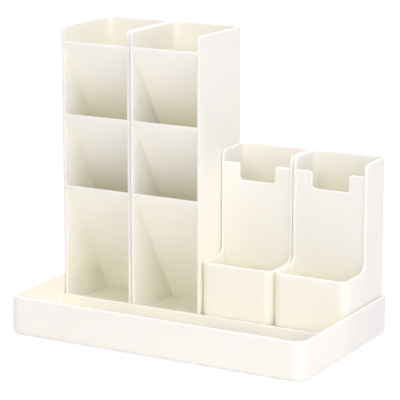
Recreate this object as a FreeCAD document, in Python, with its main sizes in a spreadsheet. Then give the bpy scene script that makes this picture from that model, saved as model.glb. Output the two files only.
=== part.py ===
"""Desk pen holder: a tray that holds two pen towers and two step bins, all of moulded plastic.

Millimetres, +Z up. The origin is on the desk, under the middle of the tray. +X runs along the row of
modules, seen from the front, and +Y runs from the front of the tray to its back.
"""
import FreeCAD, Part
import os
import Sketcher

# Driving dimensions. Every other size and place is worked out from these.
SIZES = {
    # tray
    "tray_length": 226.0,
    "tray_depth": 133.0,
    "tray_height": 26.4,
    "tray_wall": 2.2,
    "tray_floor": 2.2,
    "tray_corner": 9.0,
    "tray_base_round": 1.8,
    "trough_round": 2.0,
    "rib_height": 10.0,
    "rib_wall": 2.0,
    # how the modules fit the tray and each other
    "side_clearance": 0.5,
    "module_gap": 0.4,
    "module_depth": 62.5,
    "module_base_round": 0.8,
    # pen tower
    "tower_height": 202.0,
    "tower_wall": 2.2,
    "tower_floor": 2.2,
    "top_lip_drop": 9.0,
    "lip_pitch": 51.2,
    "divider_wall": 2.0,
    "divider_heel": 4.2,
    "tower_front_corner": 3.0,
    "crease_round": 1.0,
    # step bin
    "bin_height": 120.6,
    "bin_wall": 2.2,
    "bin_floor": 2.2,
    "bin_floor_round": 1.5,
    "low_box_height": 46.8,
    "low_box_depth": 30.0,
    "bin_front_corner": 6.5,
    "bin_top_corner": 5.0,
    "step_round": 5.5,
    "panel_wall": 2.0,
    "panel_setback": 1.0,
    "panel_drop": 8.5,
    "notch_width": 27.0,
    "notch_depth": 12.0,
    "notch_corner": 2.5,
    # foot pads
    "pad_diameter": 12.0,
    "pad_thickness": 1.2,
    "pad_recess": 0.6,
    "pad_clearance": 0.2,
    "pad_inset": 16.0,
    "pad_round": 0.3,
    # edges that a finger meets
    "edge_round": 0.6,
}

# Worked-out sizes, as expressions on the sheet.
TRAY_LIFT = "(sizes.pad_thickness - sizes.pad_recess)"
SEAT_LEVEL = f"({TRAY_LIFT} + sizes.tray_floor)"
MODULE_WIDTH = (
    "((sizes.tray_length - 2 * sizes.tray_wall - 2 * sizes.side_clearance - 3 * sizes.module_gap) / 4)"
)
MODULE_BACK_CORNER = "(sizes.tray_corner - sizes.tray_wall - sizes.side_clearance)"
BAY_BACK = "(sizes.tray_depth - sizes.tray_wall)"
MODULE_FRONT = f"({BAY_BACK} - sizes.side_clearance - sizes.module_depth)"
RIB_BACK = f"({MODULE_FRONT} - sizes.side_clearance)"
RIB_FRONT = f"({RIB_BACK} - sizes.rib_wall)"
RIB_TOP = "(sizes.tray_floor + sizes.rib_height)"

doc = FreeCAD.newDocument("pen_holder")
sheet = doc.addObject("Spreadsheet::Sheet", "sizes")
for row, (alias, size) in enumerate(SIZES.items(), start=1):
    sheet.set(f"A{row}", alias)
    sheet.set(f"B{row}", str(size))
    sheet.setAlias(f"B{row}", alias)
doc.recompute()


def number(expression):
    """The value that an expression on the sheet has now."""
    return float(sheet.evalExpression(expression))


def new_body(label, place):
    """An empty body whose corner stands at a place given by three expressions."""
    body = doc.addObject("PartDesign::Body", label)
    body.Label = label
    for axis, expression in zip("xyz", place):
        body.setExpression(f"Placement.Base.{axis}", expression)
    return body


def new_sketch(body, name, role, level):
    """A sketch on one of the body's own planes, moved along its normal to a level."""
    sketch = body.newObject("Sketcher::SketchObject", f"{body.Name}_{name}")
    plane = [feature for feature in body.Origin.OriginFeatures if feature.Role == role][0]
    sketch.AttachmentSupport = (plane, [""])
    sketch.MapMode = "FlatFace"
    sketch.setExpression("AttachmentOffset.Base.z", level)
    return sketch


def hold_point(sketch, edge, end, place):
    """Bind one end of a sketch edge, or a circle's centre, to two expressions."""
    for kind, expression in zip(("DistanceX", "DistanceY"), place):
        index = sketch.addConstraint(Sketcher.Constraint(kind, -1, 1, edge, end, number(expression)))
        sketch.setExpression(f"Constraints[{index}]", expression)


def draw_polygon(sketch, corners):
    """A closed outline whose corners are pairs of expressions."""
    points = [FreeCAD.Vector(number(across), number(along), 0) for across, along in corners]
    first = sketch.GeometryCount
    for start, end in zip(points, points[1:] + points[:1]):
        sketch.addGeometry(Part.LineSegment(start, end))
    for index, corner in enumerate(corners):
        following = (index + 1) % len(corners)
        sketch.addConstraint(Sketcher.Constraint("Coincident", first + index, 2, first + following, 1))
        hold_point(sketch, first + index, 1, corner)


def draw_circle(sketch, centre, diameter):
    """A circle with its centre and diameter bound to expressions."""
    middle = FreeCAD.Vector(number(centre[0]), number(centre[1]), 0)
    edge = sketch.addGeometry(Part.Circle(middle, FreeCAD.Vector(0, 0, 1), number(diameter) / 2))
    hold_point(sketch, edge, 3, centre)
    index = sketch.addConstraint(Sketcher.Constraint("Diameter", edge, number(diameter)))
    sketch.setExpression(f"Constraints[{index}]", diameter)


def box_corners(left, front, right, back):
    """The four corners of an upright rectangle."""
    return [(left, front), (right, front), (right, back), (left, back)]


def pad(body, sketch, length):
    """Add material from the sketch along its normal."""
    feature = body.newObject("PartDesign::Pad", f"{sketch.Name}_pad")
    feature.Profile = sketch
    feature.setExpression("Length", length)
    doc.recompute()


def pocket(body, sketch, length):
    """Cut material from the sketch along its normal, and make sure that something was cut."""
    before = body.Tip.Shape.Volume
    feature = body.newObject("PartDesign::Pocket", f"{sketch.Name}_pocket")
    feature.Profile = sketch
    feature.Reversed = True
    feature.setExpression("Length", length)
    doc.recompute()
    if not feature.Shape.Volume < before:
        raise RuntimeError(f"{feature.Name} cut nothing")


def lies_on(edge, **planes):
    """Whether an edge lies wholly at the given x, y or z."""
    box = edge.BoundBox
    near = 0.01
    return all(
        abs(getattr(box, axis.upper() + "Min") - level) < near
        and abs(getattr(box, axis.upper() + "Max") - level) < near
        for axis, level in planes.items()
    )


def runs_down(edge, x, slope, level):
    """Whether an edge at x runs back and down a slope that starts at a level in front."""
    return all(abs(end.X - x) < 0.01 and abs(end.Z + slope * end.Y - level) < 0.01 for end in edge.Vertexes)


def seam_across(edge, wall):
    """Whether an edge is only the line across a wall between two faces of its rim."""
    box = edge.BoundBox
    return abs(box.XLength - wall) < 0.01 and box.YLength < 0.01 and box.ZLength < 0.01


def fillet(body, name, radius, chosen):
    """Round the edges of the body that the test chooses."""
    base = body.Tip
    edges = [f"Edge{count}" for count, edge in enumerate(base.Shape.Edges, start=1) if chosen(edge)]
    if not edges:
        raise RuntimeError(f"{body.Name} has no edge for {name}")
    feature = body.newObject("PartDesign::Fillet", f"{body.Name}_{name}")
    feature.Base = (base, edges)
    feature.setExpression("Radius", radius)
    doc.recompute()


def build_tray():
    """The tray: rounded corners, a trough in front, and a bay behind a low rib for the modules."""
    place = ("-sizes.tray_length / 2", "-sizes.tray_depth / 2", TRAY_LIFT)
    body = new_body("tray", place)
    length, depth, height = "sizes.tray_length", "sizes.tray_depth", "sizes.tray_height"
    wall, floor = "sizes.tray_wall", "sizes.tray_floor"
    inner_right = f"{length} - {wall}"

    block = new_sketch(body, "block", "XY_Plane", "0")
    draw_polygon(block, box_corners("0", "0", length, depth))
    pad(body, block, height)
    long_way, deep_way, high_way = number(length), number(depth), number(height)

    upper = new_sketch(body, "upper", "XY_Plane", RIB_TOP)
    draw_polygon(upper, box_corners(wall, wall, inner_right, BAY_BACK))
    pocket(body, upper, f"{height} - {RIB_TOP}")
    lower = new_sketch(body, "lower", "XY_Plane", floor)
    draw_polygon(lower, box_corners(wall, wall, inner_right, RIB_FRONT))
    draw_polygon(lower, box_corners(wall, RIB_BACK, inner_right, BAY_BACK))
    pocket(body, lower, "sizes.rib_height")
    inner_x = (number(wall), number(inner_right))
    inner_y = (number(wall), number(BAY_BACK))
    fillet(body, "inner_corners", f"sizes.tray_corner - {wall}", lambda edge: any(
        lies_on(edge, x=x, y=y) for x in inner_x for y in inner_y))
    fillet(body, "outer_corners", "sizes.tray_corner", lambda edge: any(
        lies_on(edge, x=x, y=y) for x in (0, long_way) for y in (0, deep_way)))

    recess = new_sketch(body, "pad_recess", "XY_Plane", "0")
    for across in ("sizes.pad_inset", f"{length} - sizes.pad_inset"):
        for along in ("sizes.pad_inset", f"{depth} - sizes.pad_inset"):
            draw_circle(recess, (across, along), "sizes.pad_diameter + 2 * sizes.pad_clearance")
    pocket(body, recess, "sizes.pad_recess")

    fillet(body, "trough_edge", "sizes.trough_round", lambda edge: (
        lies_on(edge, z=number(floor)) and edge.BoundBox.YMax < number(RIB_FRONT) + 0.01))
    fillet(body, "base_edge", "sizes.tray_base_round", lambda edge: (
        lies_on(edge, z=0) and not edge.isClosed()))
    fillet(body, "rim", "sizes.edge_round", lambda edge: lies_on(edge, z=high_way))
    rib_sides = (number(RIB_FRONT), number(RIB_BACK))
    fillet(body, "rib_edge", "sizes.edge_round", lambda edge: any(
        lies_on(edge, y=y, z=number(RIB_TOP)) for y in rib_sides))
    return body


def module_place(count):
    """Where a module's front left corner stands, counted from the left of the row."""
    left = "-sizes.tray_length / 2 + sizes.tray_wall + sizes.side_clearance"
    return (
        f"{left} + {count} * ({MODULE_WIDTH} + sizes.module_gap)",
        f"-sizes.tray_depth / 2 + {MODULE_FRONT}",
        SEAT_LEVEL,
    )


def build_tower(label, count):
    """A pen tower: open at the front, with three parallel slanted dividers between its side walls."""
    body = new_body(label, module_place(count))
    width, depth, height = MODULE_WIDTH, "sizes.module_depth", "sizes.tower_height"
    wall, floor = "sizes.tower_wall", "sizes.tower_floor"
    inner_right = f"{width} - {wall}"
    inner_back = f"({depth} - {wall})"

    block = new_sketch(body, "block", "XY_Plane", "0")
    draw_polygon(block, box_corners("0", "0", width, depth))
    pad(body, block, height)
    wide, deep, high = number(width), number(depth), number(height)

    # The lowest divider lands on the floor just in front of the back wall, and sets the slope of all three.
    lips = [f"(sizes.tower_height - sizes.top_lip_drop - {step} * sizes.lip_pitch)" for step in range(3)]
    run = f"({inner_back} - sizes.divider_heel)"
    slope = f"(({lips[2]} - {floor}) / {run})"
    upright_wall = f"(sizes.divider_wall * sqrt(1 + pow({slope}; 2)))"
    drop = f"{inner_back} * {slope}"
    undersides = [f"({lip} - {upright_wall})" for lip in lips]
    compartments = new_sketch(body, "compartments", "YZ_Plane", wall)
    draw_polygon(compartments, [
        ("0", lips[0]), ("0", height), (inner_back, height), (inner_back, f"{lips[0]} - {drop}")])
    draw_polygon(compartments, [
        ("0", lips[1]), ("0", undersides[0]),
        (inner_back, f"{undersides[0]} - {drop}"), (inner_back, f"{lips[1]} - {drop}")])
    draw_polygon(compartments, [
        ("0", lips[2]), ("0", undersides[1]),
        (inner_back, f"{undersides[1]} - {drop}"), (inner_back, floor), (run, floor)])
    cubby_back = f"(({undersides[2]} - {floor}) / {slope})"
    draw_polygon(compartments, [("0", floor), ("0", undersides[2]), (cubby_back, floor)])
    pocket(body, compartments, f"{width} - 2 * {wall}")

    inner_x = (number(wall), number(inner_right))
    fillet(body, "inner_corners", f"{MODULE_BACK_CORNER} - {wall}", lambda edge: any(
        lies_on(edge, x=x, y=number(inner_back)) for x in inner_x))
    fillet(body, "creases", "sizes.crease_round", lambda edge: (
        any(runs_down(edge, x, number(slope), number(level)) for x in inner_x for level in undersides)
        or any(lies_on(edge, x=x, z=number(floor)) and edge.BoundBox.YMin < 0.01 for x in inner_x)
        or lies_on(edge, y=number(cubby_back), z=number(floor))))
    fillet(body, "back_corners", MODULE_BACK_CORNER, lambda edge: any(
        lies_on(edge, x=x, y=deep) for x in (0, wide)))
    fillet(body, "front_corners", "sizes.tower_front_corner", lambda edge: lies_on(edge, y=0, z=high))
    corner_start = number(f"{height} - sizes.tower_front_corner")
    fillet(body, "rim", "sizes.edge_round", lambda edge: (
        not seam_across(edge, number(wall)) and not lies_on(edge, z=0)
        and (lies_on(edge, y=0) or edge.BoundBox.ZMin > corner_start - 0.01)))
    fillet(body, "base_edge", "sizes.module_base_round", lambda edge: lies_on(edge, z=0))
    return body


def build_bin(label, count):
    """A step bin: a tall rear compartment with a notched front panel, and a low box in front of it."""
    body = new_body(label, module_place(count))
    width, depth, height = MODULE_WIDTH, "sizes.module_depth", "sizes.bin_height"
    wall, floor = "sizes.bin_wall", "sizes.bin_floor"
    low, step = "sizes.low_box_height", "sizes.low_box_depth"
    inner_right = f"{width} - {wall}"
    inner_back = f"({depth} - {wall})"
    panel_front = f"({step} + sizes.panel_setback)"
    panel_back = f"({panel_front} + sizes.panel_wall)"
    panel_top = f"({height} - sizes.panel_drop)"
    notch_bottom = f"({panel_top} - sizes.notch_depth)"
    notch_left = f"(({width} - sizes.notch_width) / 2)"
    notch_right = f"(({width} + sizes.notch_width) / 2)"

    block = new_sketch(body, "block", "XY_Plane", "0")
    draw_polygon(block, box_corners("0", "0", width, depth))
    pad(body, block, height)
    wide, deep, high = number(width), number(depth), number(height)

    above = new_sketch(body, "step", "YZ_Plane", "0")
    draw_polygon(above, box_corners("0", low, step, height))
    pocket(body, above, width)
    fillet(body, "step_corner", "sizes.step_round", lambda edge: lies_on(edge, y=number(step), z=number(low)))
    fillet(body, "top_corner", "sizes.bin_top_corner", lambda edge: lies_on(edge, y=number(step), z=high))

    hollows = new_sketch(body, "hollows", "XY_Plane", floor)
    draw_polygon(hollows, box_corners(wall, wall, inner_right, panel_front))
    draw_polygon(hollows, box_corners(wall, panel_back, inner_right, inner_back))
    pocket(body, hollows, f"{height} - {floor}")
    inner_x = (number(wall), number(inner_right))
    fillet(body, "inner_back_corners", f"{MODULE_BACK_CORNER} - {wall}", lambda edge: any(
        lies_on(edge, x=x, y=number(inner_back)) for x in inner_x))
    fillet(body, "inner_front_corners", f"sizes.bin_front_corner - {wall}", lambda edge: any(
        lies_on(edge, x=x, y=number(wall)) for x in inner_x))
    fillet(body, "back_corners", MODULE_BACK_CORNER, lambda edge: any(
        lies_on(edge, x=x, y=deep) for x in (0, wide)))
    fillet(body, "front_corners", "sizes.bin_front_corner", lambda edge: any(
        lies_on(edge, x=x, y=0) for x in (0, wide)))

    above_panel = new_sketch(body, "above_panel", "XY_Plane", panel_top)
    draw_polygon(above_panel, box_corners(wall, panel_front, inner_right, panel_back))
    pocket(body, above_panel, "sizes.panel_drop")
    fillet(body, "rim", "sizes.edge_round", lambda edge: (
        edge.BoundBox.ZMin > number(low) - 0.01
        and not seam_across(edge, number(wall)) and not lies_on(edge, z=number(panel_top))))
    notch = new_sketch(body, "notch", "XY_Plane", notch_bottom)
    draw_polygon(notch, box_corners(notch_left, panel_front, notch_right, panel_back))
    pocket(body, notch, "sizes.notch_depth")
    notch_sides = (number(notch_left), number(notch_right))
    notch_levels = (number(notch_bottom), number(panel_top))
    fillet(body, "notch_corners", "sizes.notch_corner", lambda edge: any(
        lies_on(edge, x=x, z=z) for x in notch_sides for z in notch_levels))
    panel_faces = (number(panel_front), number(panel_back))
    fillet(body, "panel_edge", "sizes.edge_round", lambda edge: (
        edge.BoundBox.ZMin > number(notch_bottom) - 0.01
        and any(lies_on(edge, y=y) for y in panel_faces)))
    fillet(body, "floor_edge", "sizes.bin_floor_round", lambda edge: lies_on(edge, z=number(floor)))
    fillet(body, "base_edge", "sizes.module_base_round", lambda edge: lies_on(edge, z=0))
    return body


def build_pad(label, across, along):
    """A round foot pad, seated in its recess under the tray."""
    body = new_body(label, (f"{across} * (sizes.tray_length / 2 - sizes.pad_inset)",
                            f"{along} * (sizes.tray_depth / 2 - sizes.pad_inset)", "0"))
    disc = new_sketch(body, "disc", "XY_Plane", "0")
    draw_circle(disc, ("0", "0"), "sizes.pad_diameter")
    pad(body, disc, "sizes.pad_thickness")
    fillet(body, "edge", "sizes.pad_round", lambda edge: lies_on(edge, z=0))
    return body


pieces = [
    build_tray(),
    build_tower("pen_tower_left", 0),
    build_tower("pen_tower_right", 1),
    build_bin("step_bin_left", 2),
    build_bin("step_bin_right", 3),
    build_pad("foot_pad_front_left", -1, -1),
    build_pad("foot_pad_front_right", 1, -1),
    build_pad("foot_pad_back_left", -1, 1),
    build_pad("foot_pad_back_right", 1, 1),
]
doc.recompute()

for thing in doc.Objects:
    if "Invalid" in thing.State or "Error" in thing.State:
        raise RuntimeError(f"{thing.Label} failed: {thing.State}")
for piece in pieces:
    if piece.Shape.isNull() or not piece.Shape.isValid() or len(piece.Shape.Solids) != 1:
        raise RuntimeError(f"{piece.Label} is not one valid solid")

os.makedirs("parts", exist_ok=True)
for piece in pieces:
    piece.Shape.exportStep(f"parts/{piece.Label}.step")
    box = piece.Shape.optimalBoundingBox()
    print(f"{piece.Label}: {box.XLength:.2f} x {box.YLength:.2f} x {box.ZLength:.2f} mm,"
          f" {piece.Shape.Volume / 1000:.1f} cm3")
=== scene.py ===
"""Looks of the desk pen holder: an ivory tray with two pen towers and two step bins, in metres."""
import math

import bpy
from bpy.props import FloatProperty, FloatVectorProperty, PointerProperty
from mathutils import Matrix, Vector

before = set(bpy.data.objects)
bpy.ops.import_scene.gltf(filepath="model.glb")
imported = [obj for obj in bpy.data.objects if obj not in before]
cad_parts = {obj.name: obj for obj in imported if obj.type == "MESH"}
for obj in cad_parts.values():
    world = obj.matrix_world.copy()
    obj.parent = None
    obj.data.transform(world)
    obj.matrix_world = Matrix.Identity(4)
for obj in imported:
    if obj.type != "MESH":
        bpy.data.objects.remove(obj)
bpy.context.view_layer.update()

bl_info = {
    "name": "Desk Pen Holder",
    "version": (1, 0, 0),
    "blender": (4, 5, 0),
    "location": "3D View > Sidebar > Pen Holder",
    "description": "Finishes a moulded pen holder and sets it in a white studio",
    "category": "Object",
}

TOWERS = ("pen_tower_left", "pen_tower_right")
BINS = ("step_bin_left", "step_bin_right")
PADS = ("foot_pad_front_left", "foot_pad_front_right", "foot_pad_back_left", "foot_pad_back_right")

# Plastic: faint flow clouds in the colour and gloss, a fine skin, and light that enters a little
CLOUD_SCALE = 14.0
CLOUD_TINT = (0.99, 0.982, 0.965)
CLOUD_GLOSS = 0.08
SKIN_SCALE = 2400.0
SKIN_GLOSS = 0.06
SKIN_STRENGTH = 0.12
SKIN_DEPTH = 0.00004
NOISE_MIDDLE = 0.5
PLASTIC_IOR = 1.5
MILKINESS = 0.8
MILKY_RADIUS = (1.0, 0.95, 0.85)
MILKY_DEPTH = 0.003

# Rubber: a dusty face
DUST_SCALE = 700.0
DUST_LIFT = 1.12
DUST_STRENGTH = 0.2
DUST_DEPTH = 0.00006
RUBBER_ROUGHNESS = 0.72
DUST_ROUGHNESS = 0.15
RUBBER_IOR = 1.52

# Studio: the floor glows to the camera, less so near the pen holder, where the shadow shows
WHITE = (1.0, 1.0, 1.0, 1.0)
FLOOR_SIZE = 12.0
FLOOR_MATTE = (0.9, 0.9, 0.9, 1.0)
FLOOR_GLOW = 1.05
SHADOW_NEAR, SHADOW_FAR = 0.2, 0.9
GLOW_NEAR, GLOW_FAR = 0.8, 1.0
LIT_POINT = Vector((0.0, 0.0, 0.09))
SOFT_BOXES = {
    "front": {"place": (0.24, -1.43, 0.48), "size": 0.7},
    "right": {"place": (1.3, -0.45, 0.66), "size": 1.0},
    "top": {"place": (0.0, -0.05, 1.49), "size": 1.0},
    "back": {"place": (-0.75, 1.35, 0.75), "size": 1.0},
}
FRAME_WIDTH = 36.0
CAMERA_REACH = 20.0
DIFFUSE_BOUNCES = 12
MAX_BOUNCES = 16


class Wire:
    """A node socket in a Python expression: each operator on it adds a Math node."""

    def __init__(self, tree, socket):
        self.tree = tree
        self.socket = socket

    def _math(self, operation, first, second):
        return add_node(self.tree, "ShaderNodeMath", {"operation": operation}, {0: first, 1: second})

    def __add__(self, other):
        return self._math("ADD", self, other)

    def __radd__(self, other):
        return self._math("ADD", other, self)

    def __sub__(self, other):
        return self._math("SUBTRACT", self, other)

    def __rsub__(self, other):
        return self._math("SUBTRACT", other, self)

    def __mul__(self, other):
        return self._math("MULTIPLY", self, other)

    def __rmul__(self, other):
        return self._math("MULTIPLY", other, self)


def add_node(tree, kind, settings, inputs, output=0):
    """Add a node, set it up, then fill its sockets with values or wires; gives one output's wire."""
    node = tree.nodes.new(kind)
    for name, value in settings.items():
        setattr(node, name, value)
    for key, value in inputs.items():
        if isinstance(value, Wire):
            tree.links.new(value.socket, node.inputs[key])
        else:
            node.inputs[key].default_value = value
    return Wire(tree, node.outputs[output]) if len(node.outputs) else None


def new_material(name):
    """An empty node material."""
    material = bpy.data.materials.new(name)
    material.use_nodes = True
    material.node_tree.nodes.clear()
    return material, material.node_tree


def close_material(tree, shader):
    """Send a shader to the material's surface."""
    add_node(tree, "ShaderNodeOutputMaterial", {}, {"Surface": shader})


def noise(tree, scale, detail):
    """Cloudy noise on the piece's own Object coordinates."""
    place = add_node(tree, "ShaderNodeTexCoord", {}, {}, "Object")
    return add_node(tree, "ShaderNodeTexNoise", {},
                    {"Vector": place, "Scale": scale, "Detail": detail})


def two_tone(tree, share, first, second):
    """A colour that goes from the first to the second as the share goes from 0 to 1."""
    return add_node(tree, "ShaderNodeMix", {"data_type": "RGBA"},
                    {"Factor": share, 6: tuple(first) + (1.0,), 7: tuple(second) + (1.0,)}, 2)


def moulded_plastic(finish):
    """Softly glossy ivory plastic with a fine spark-eroded skin and faint flow clouds."""
    material, tree = new_material("ivory_moulded_plastic")
    clouds = noise(tree, CLOUD_SCALE, 2.0)
    skin = noise(tree, SKIN_SCALE, 3.0)
    warmer = tuple(level * share for level, share in zip(finish.ivory, CLOUD_TINT))
    bump = add_node(tree, "ShaderNodeBump", {},
                    {"Strength": SKIN_STRENGTH, "Distance": SKIN_DEPTH, "Height": skin})
    shader = add_node(tree, "ShaderNodeBsdfPrincipled", {}, {
        "Base Color": two_tone(tree, clouds, finish.ivory, warmer),
        "Roughness": (finish.gloss_roughness
                      + (clouds - NOISE_MIDDLE) * CLOUD_GLOSS + (skin - NOISE_MIDDLE) * SKIN_GLOSS),
        "IOR": PLASTIC_IOR,
        "Subsurface Weight": MILKINESS,
        "Subsurface Radius": MILKY_RADIUS,
        "Subsurface Scale": MILKY_DEPTH,
        "Normal": bump,
    })
    close_material(tree, shader)
    return material


def soft_rubber(finish):
    """Pale grey rubber with a dull, slightly dusty face."""
    material, tree = new_material("pale_foot_rubber")
    dust = noise(tree, DUST_SCALE, 4.0)
    dusty = tuple(min(1.0, level * DUST_LIFT) for level in finish.rubber)
    bump = add_node(tree, "ShaderNodeBump", {},
                    {"Strength": DUST_STRENGTH, "Distance": DUST_DEPTH, "Height": dust})
    shader = add_node(tree, "ShaderNodeBsdfPrincipled", {}, {
        "Base Color": two_tone(tree, dust, finish.rubber, dusty),
        "Roughness": RUBBER_ROUGHNESS + dust * DUST_ROUGHNESS,
        "IOR": RUBBER_IOR,
        "Normal": bump,
    })
    close_material(tree, shader)
    return material


def dress(node, material):
    """Give a node of the frame its finish."""
    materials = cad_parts[node].data.materials
    materials.clear()
    materials.append(material)


class PenHolderFinish(bpy.types.PropertyGroup):
    """Colours and gloss of the pieces."""

    ivory: FloatVectorProperty(
        name="Ivory", description="Colour of the moulded plastic", subtype="COLOR", size=3,
        default=(0.95, 0.938, 0.838), min=0.0, max=1.0)
    gloss_roughness: FloatProperty(
        name="Roughness", description="Mean roughness of the plastic", subtype="FACTOR",
        default=0.38, min=0.0, max=1.0)
    rubber: FloatVectorProperty(
        name="Rubber", description="Colour of the foot pads", subtype="COLOR", size=3,
        default=(0.5, 0.5, 0.48), min=0.0, max=1.0)


class PenHolderStage(bpy.types.PropertyGroup):
    """Camera and light of the white studio."""

    azimuth: FloatProperty(
        name="Azimuth", description="How far the camera stands round to the right",
        subtype="ANGLE", default=math.radians(29.164))
    elevation: FloatProperty(
        name="Elevation", description="How far the camera looks down", subtype="ANGLE",
        default=math.radians(13.184))
    distance: FloatProperty(
        name="Distance", description="From the camera to the point that it looks at",
        unit="LENGTH", default=1.3429)
    aim_height: FloatProperty(
        name="Aim height", description="Height of the point that the camera looks at",
        unit="LENGTH", default=0.09367)
    aim_side: FloatProperty(
        name="Aim side", description="How far that point lies to the right of the middle",
        unit="LENGTH", default=0.00067)
    lens: FloatProperty(
        name="Lens", description="Focal length in millimetres on a 36 mm wide frame",
        default=177.94)
    dome: FloatProperty(
        name="Dome", description="Strength of the even light from all round", default=0.388)
    front_lamp: FloatProperty(
        name="Front lamp", description="Power of the low soft box in front", unit="POWER",
        default=4.85)
    right_lamp: FloatProperty(
        name="Right lamp", description="Power of the soft box at the right", unit="POWER",
        default=8.2)
    top_lamp: FloatProperty(
        name="Top lamp", description="Power of the soft box above", unit="POWER", default=11.5)
    back_lamp: FloatProperty(
        name="Back lamp", description="Power of the weak soft box behind", unit="POWER",
        default=5.0)
    lamp_tint: FloatVectorProperty(
        name="Lamp tint", description="Colour of the studio light", subtype="COLOR", size=3,
        default=(0.96, 0.922, 1.0), min=0.0, max=1.0)


class PENHOLDER_OT_tray(bpy.types.Operator):
    """Finish the tray"""

    bl_idname = "penholder.tray"
    bl_label = "Tray"

    def execute(self, context):
        dress("tray", moulded_plastic(context.scene.pen_holder_finish))
        return {"FINISHED"}


class PENHOLDER_OT_towers(bpy.types.Operator):
    """Finish the two pen towers with the tray's plastic"""

    bl_idname = "penholder.towers"
    bl_label = "Pen towers"

    def execute(self, context):
        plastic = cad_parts["tray"].data.materials[0]
        for node in TOWERS:
            dress(node, plastic)
        return {"FINISHED"}


class PENHOLDER_OT_bins(bpy.types.Operator):
    """Finish the two step bins with the tray's plastic"""

    bl_idname = "penholder.bins"
    bl_label = "Step bins"

    def execute(self, context):
        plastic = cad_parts["tray"].data.materials[0]
        for node in BINS:
            dress(node, plastic)
        return {"FINISHED"}


class PENHOLDER_OT_pads(bpy.types.Operator):
    """Finish the foot pads"""

    bl_idname = "penholder.pads"
    bl_label = "Foot pads"

    def execute(self, context):
        rubber = soft_rubber(context.scene.pen_holder_finish)
        for node in PADS:
            dress(node, rubber)
        return {"FINISHED"}


def seen_rays(tree):
    """1 for rays that show a thing, straight, mirrored or through glass, and 0 for the others."""
    rays = [add_node(tree, "ShaderNodeLightPath", {}, {}, f"Is {kind} Ray")
            for kind in ("Camera", "Glossy", "Transmission")]
    return rays[0] + rays[1] + rays[2]


def studio_floor():
    """A white floor that keeps a faint shadow."""
    bpy.ops.mesh.primitive_plane_add(size=FLOOR_SIZE)
    floor = bpy.context.object
    floor.name = "studio_floor"
    material, tree = new_material("white_studio_floor")
    matte = add_node(tree, "ShaderNodeBsdfDiffuse", {}, {"Color": FLOOR_MATTE})
    glow = add_node(tree, "ShaderNodeEmission", {}, {"Color": WHITE, "Strength": FLOOR_GLOW})
    place = add_node(tree, "ShaderNodeTexCoord", {}, {}, "Object")
    reach = add_node(tree, "ShaderNodeVectorMath", {"operation": "LENGTH"}, {0: place}, "Value")
    share = add_node(tree, "ShaderNodeMapRange", {},
                     {"Value": reach, 1: SHADOW_NEAR, 2: SHADOW_FAR, 3: GLOW_NEAR, 4: GLOW_FAR})
    mixed = add_node(tree, "ShaderNodeMixShader", {},
                     {0: seen_rays(tree) * share, 1: matte, 2: glow})
    close_material(tree, mixed)
    floor.data.materials.append(material)


def studio_world(stage):
    """White to the camera and in reflections, and an even dome of light for the rest."""
    world = bpy.data.worlds.new("white_studio")
    world.use_nodes = True
    tree = world.node_tree
    tree.nodes.clear()
    tint = tuple(stage.lamp_tint) + (1.0,)
    dome = add_node(tree, "ShaderNodeBackground", {}, {"Color": tint, "Strength": stage.dome})
    white = add_node(tree, "ShaderNodeBackground", {}, {"Color": WHITE, "Strength": 1.0})
    mixed = add_node(tree, "ShaderNodeMixShader", {}, {0: seen_rays(tree), 1: dome, 2: white})
    add_node(tree, "ShaderNodeOutputWorld", {}, {"Surface": mixed})
    bpy.context.scene.world = world


def facing(direction):
    """The turn of a lamp or camera that looks along a direction."""
    return direction.to_track_quat("-Z", "Y").to_euler()


def soft_box(name, place, size, power, colour):
    """A square area lamp that faces the middle of the pen holder."""
    lamp = bpy.data.lights.new(name, "AREA")
    lamp.size = size
    lamp.energy = power
    lamp.color = colour
    holder = bpy.data.objects.new(name, lamp)
    holder.location = place
    holder.rotation_euler = facing(LIT_POINT - Vector(place))
    bpy.context.scene.collection.objects.link(holder)


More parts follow.
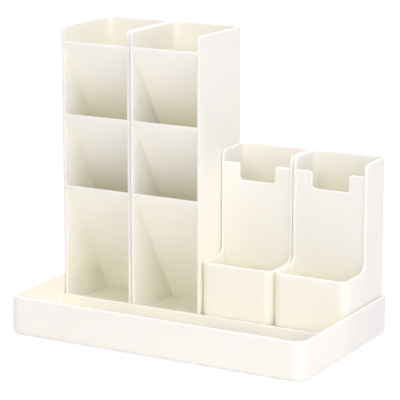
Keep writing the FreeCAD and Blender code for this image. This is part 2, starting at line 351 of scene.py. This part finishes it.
def studio_camera(stage):
    """A long lens at the photograph's viewing angle."""
    turn, tilt = stage.azimuth, stage.elevation
    side = Vector((math.cos(turn), math.sin(turn), 0.0))
    level = math.cos(tilt)
    back = Vector((math.sin(turn) * level, -math.cos(turn) * level, math.sin(tilt)))
    aim = side * stage.aim_side + Vector((0.0, 0.0, stage.aim_height))
    data = bpy.data.cameras.new("studio_camera")
    data.sensor_width = FRAME_WIDTH
    data.lens = stage.lens
    data.clip_end = CAMERA_REACH
    camera = bpy.data.objects.new("studio_camera", data)
    camera.location = aim + back * stage.distance
    camera.rotation_euler = facing(-back)
    bpy.context.scene.collection.objects.link(camera)
    bpy.context.scene.camera = camera


class PENHOLDER_OT_stage(bpy.types.Operator):
    """Set the white studio: floor, light and camera"""

    bl_idname = "penholder.stage"
    bl_label = "Studio"

    def execute(self, context):
        stage = context.scene.pen_holder_stage
        context.scene.view_settings.view_transform = "Standard"
        studio_floor()
        studio_world(stage)
        for side, box in SOFT_BOXES.items():
            power = getattr(stage, f"{side}_lamp")
            soft_box(f"{side}_soft_box", box["place"], box["size"], power, stage.lamp_tint)
        studio_camera(stage)
        context.scene.cycles.diffuse_bounces = DIFFUSE_BOUNCES
        context.scene.cycles.max_bounces = MAX_BOUNCES
        return {"FINISHED"}


class PENHOLDER_PT_panel(bpy.types.Panel):
    """Lists the steps that make the pen holder"""

    bl_label = "Pen Holder"
    bl_idname = "PENHOLDER_PT_panel"
    bl_space_type = "VIEW_3D"
    bl_region_type = "UI"
    bl_category = "Pen Holder"

    def draw(self, context):
        for operator in OPERATORS:
            self.layout.operator(operator.bl_idname)


OPERATORS = (
    PENHOLDER_OT_tray,
    PENHOLDER_OT_towers,
    PENHOLDER_OT_bins,
    PENHOLDER_OT_pads,
    PENHOLDER_OT_stage,
)
CLASSES = (PenHolderFinish, PenHolderStage) + OPERATORS + (PENHOLDER_PT_panel,)


def register():
    for entry in CLASSES:
        bpy.utils.register_class(entry)
    bpy.types.Scene.pen_holder_finish = PointerProperty(type=PenHolderFinish)
    bpy.types.Scene.pen_holder_stage = PointerProperty(type=PenHolderStage)


def unregister():
    del bpy.types.Scene.pen_holder_stage
    del bpy.types.Scene.pen_holder_finish
    for entry in reversed(CLASSES):
        bpy.utils.unregister_class(entry)


def main():
    register()
    bpy.ops.penholder.tray()
    bpy.ops.penholder.towers()
    bpy.ops.penholder.bins()
    bpy.ops.penholder.pads()
    bpy.ops.penholder.stage()


if __name__ == "__main__":
    main()
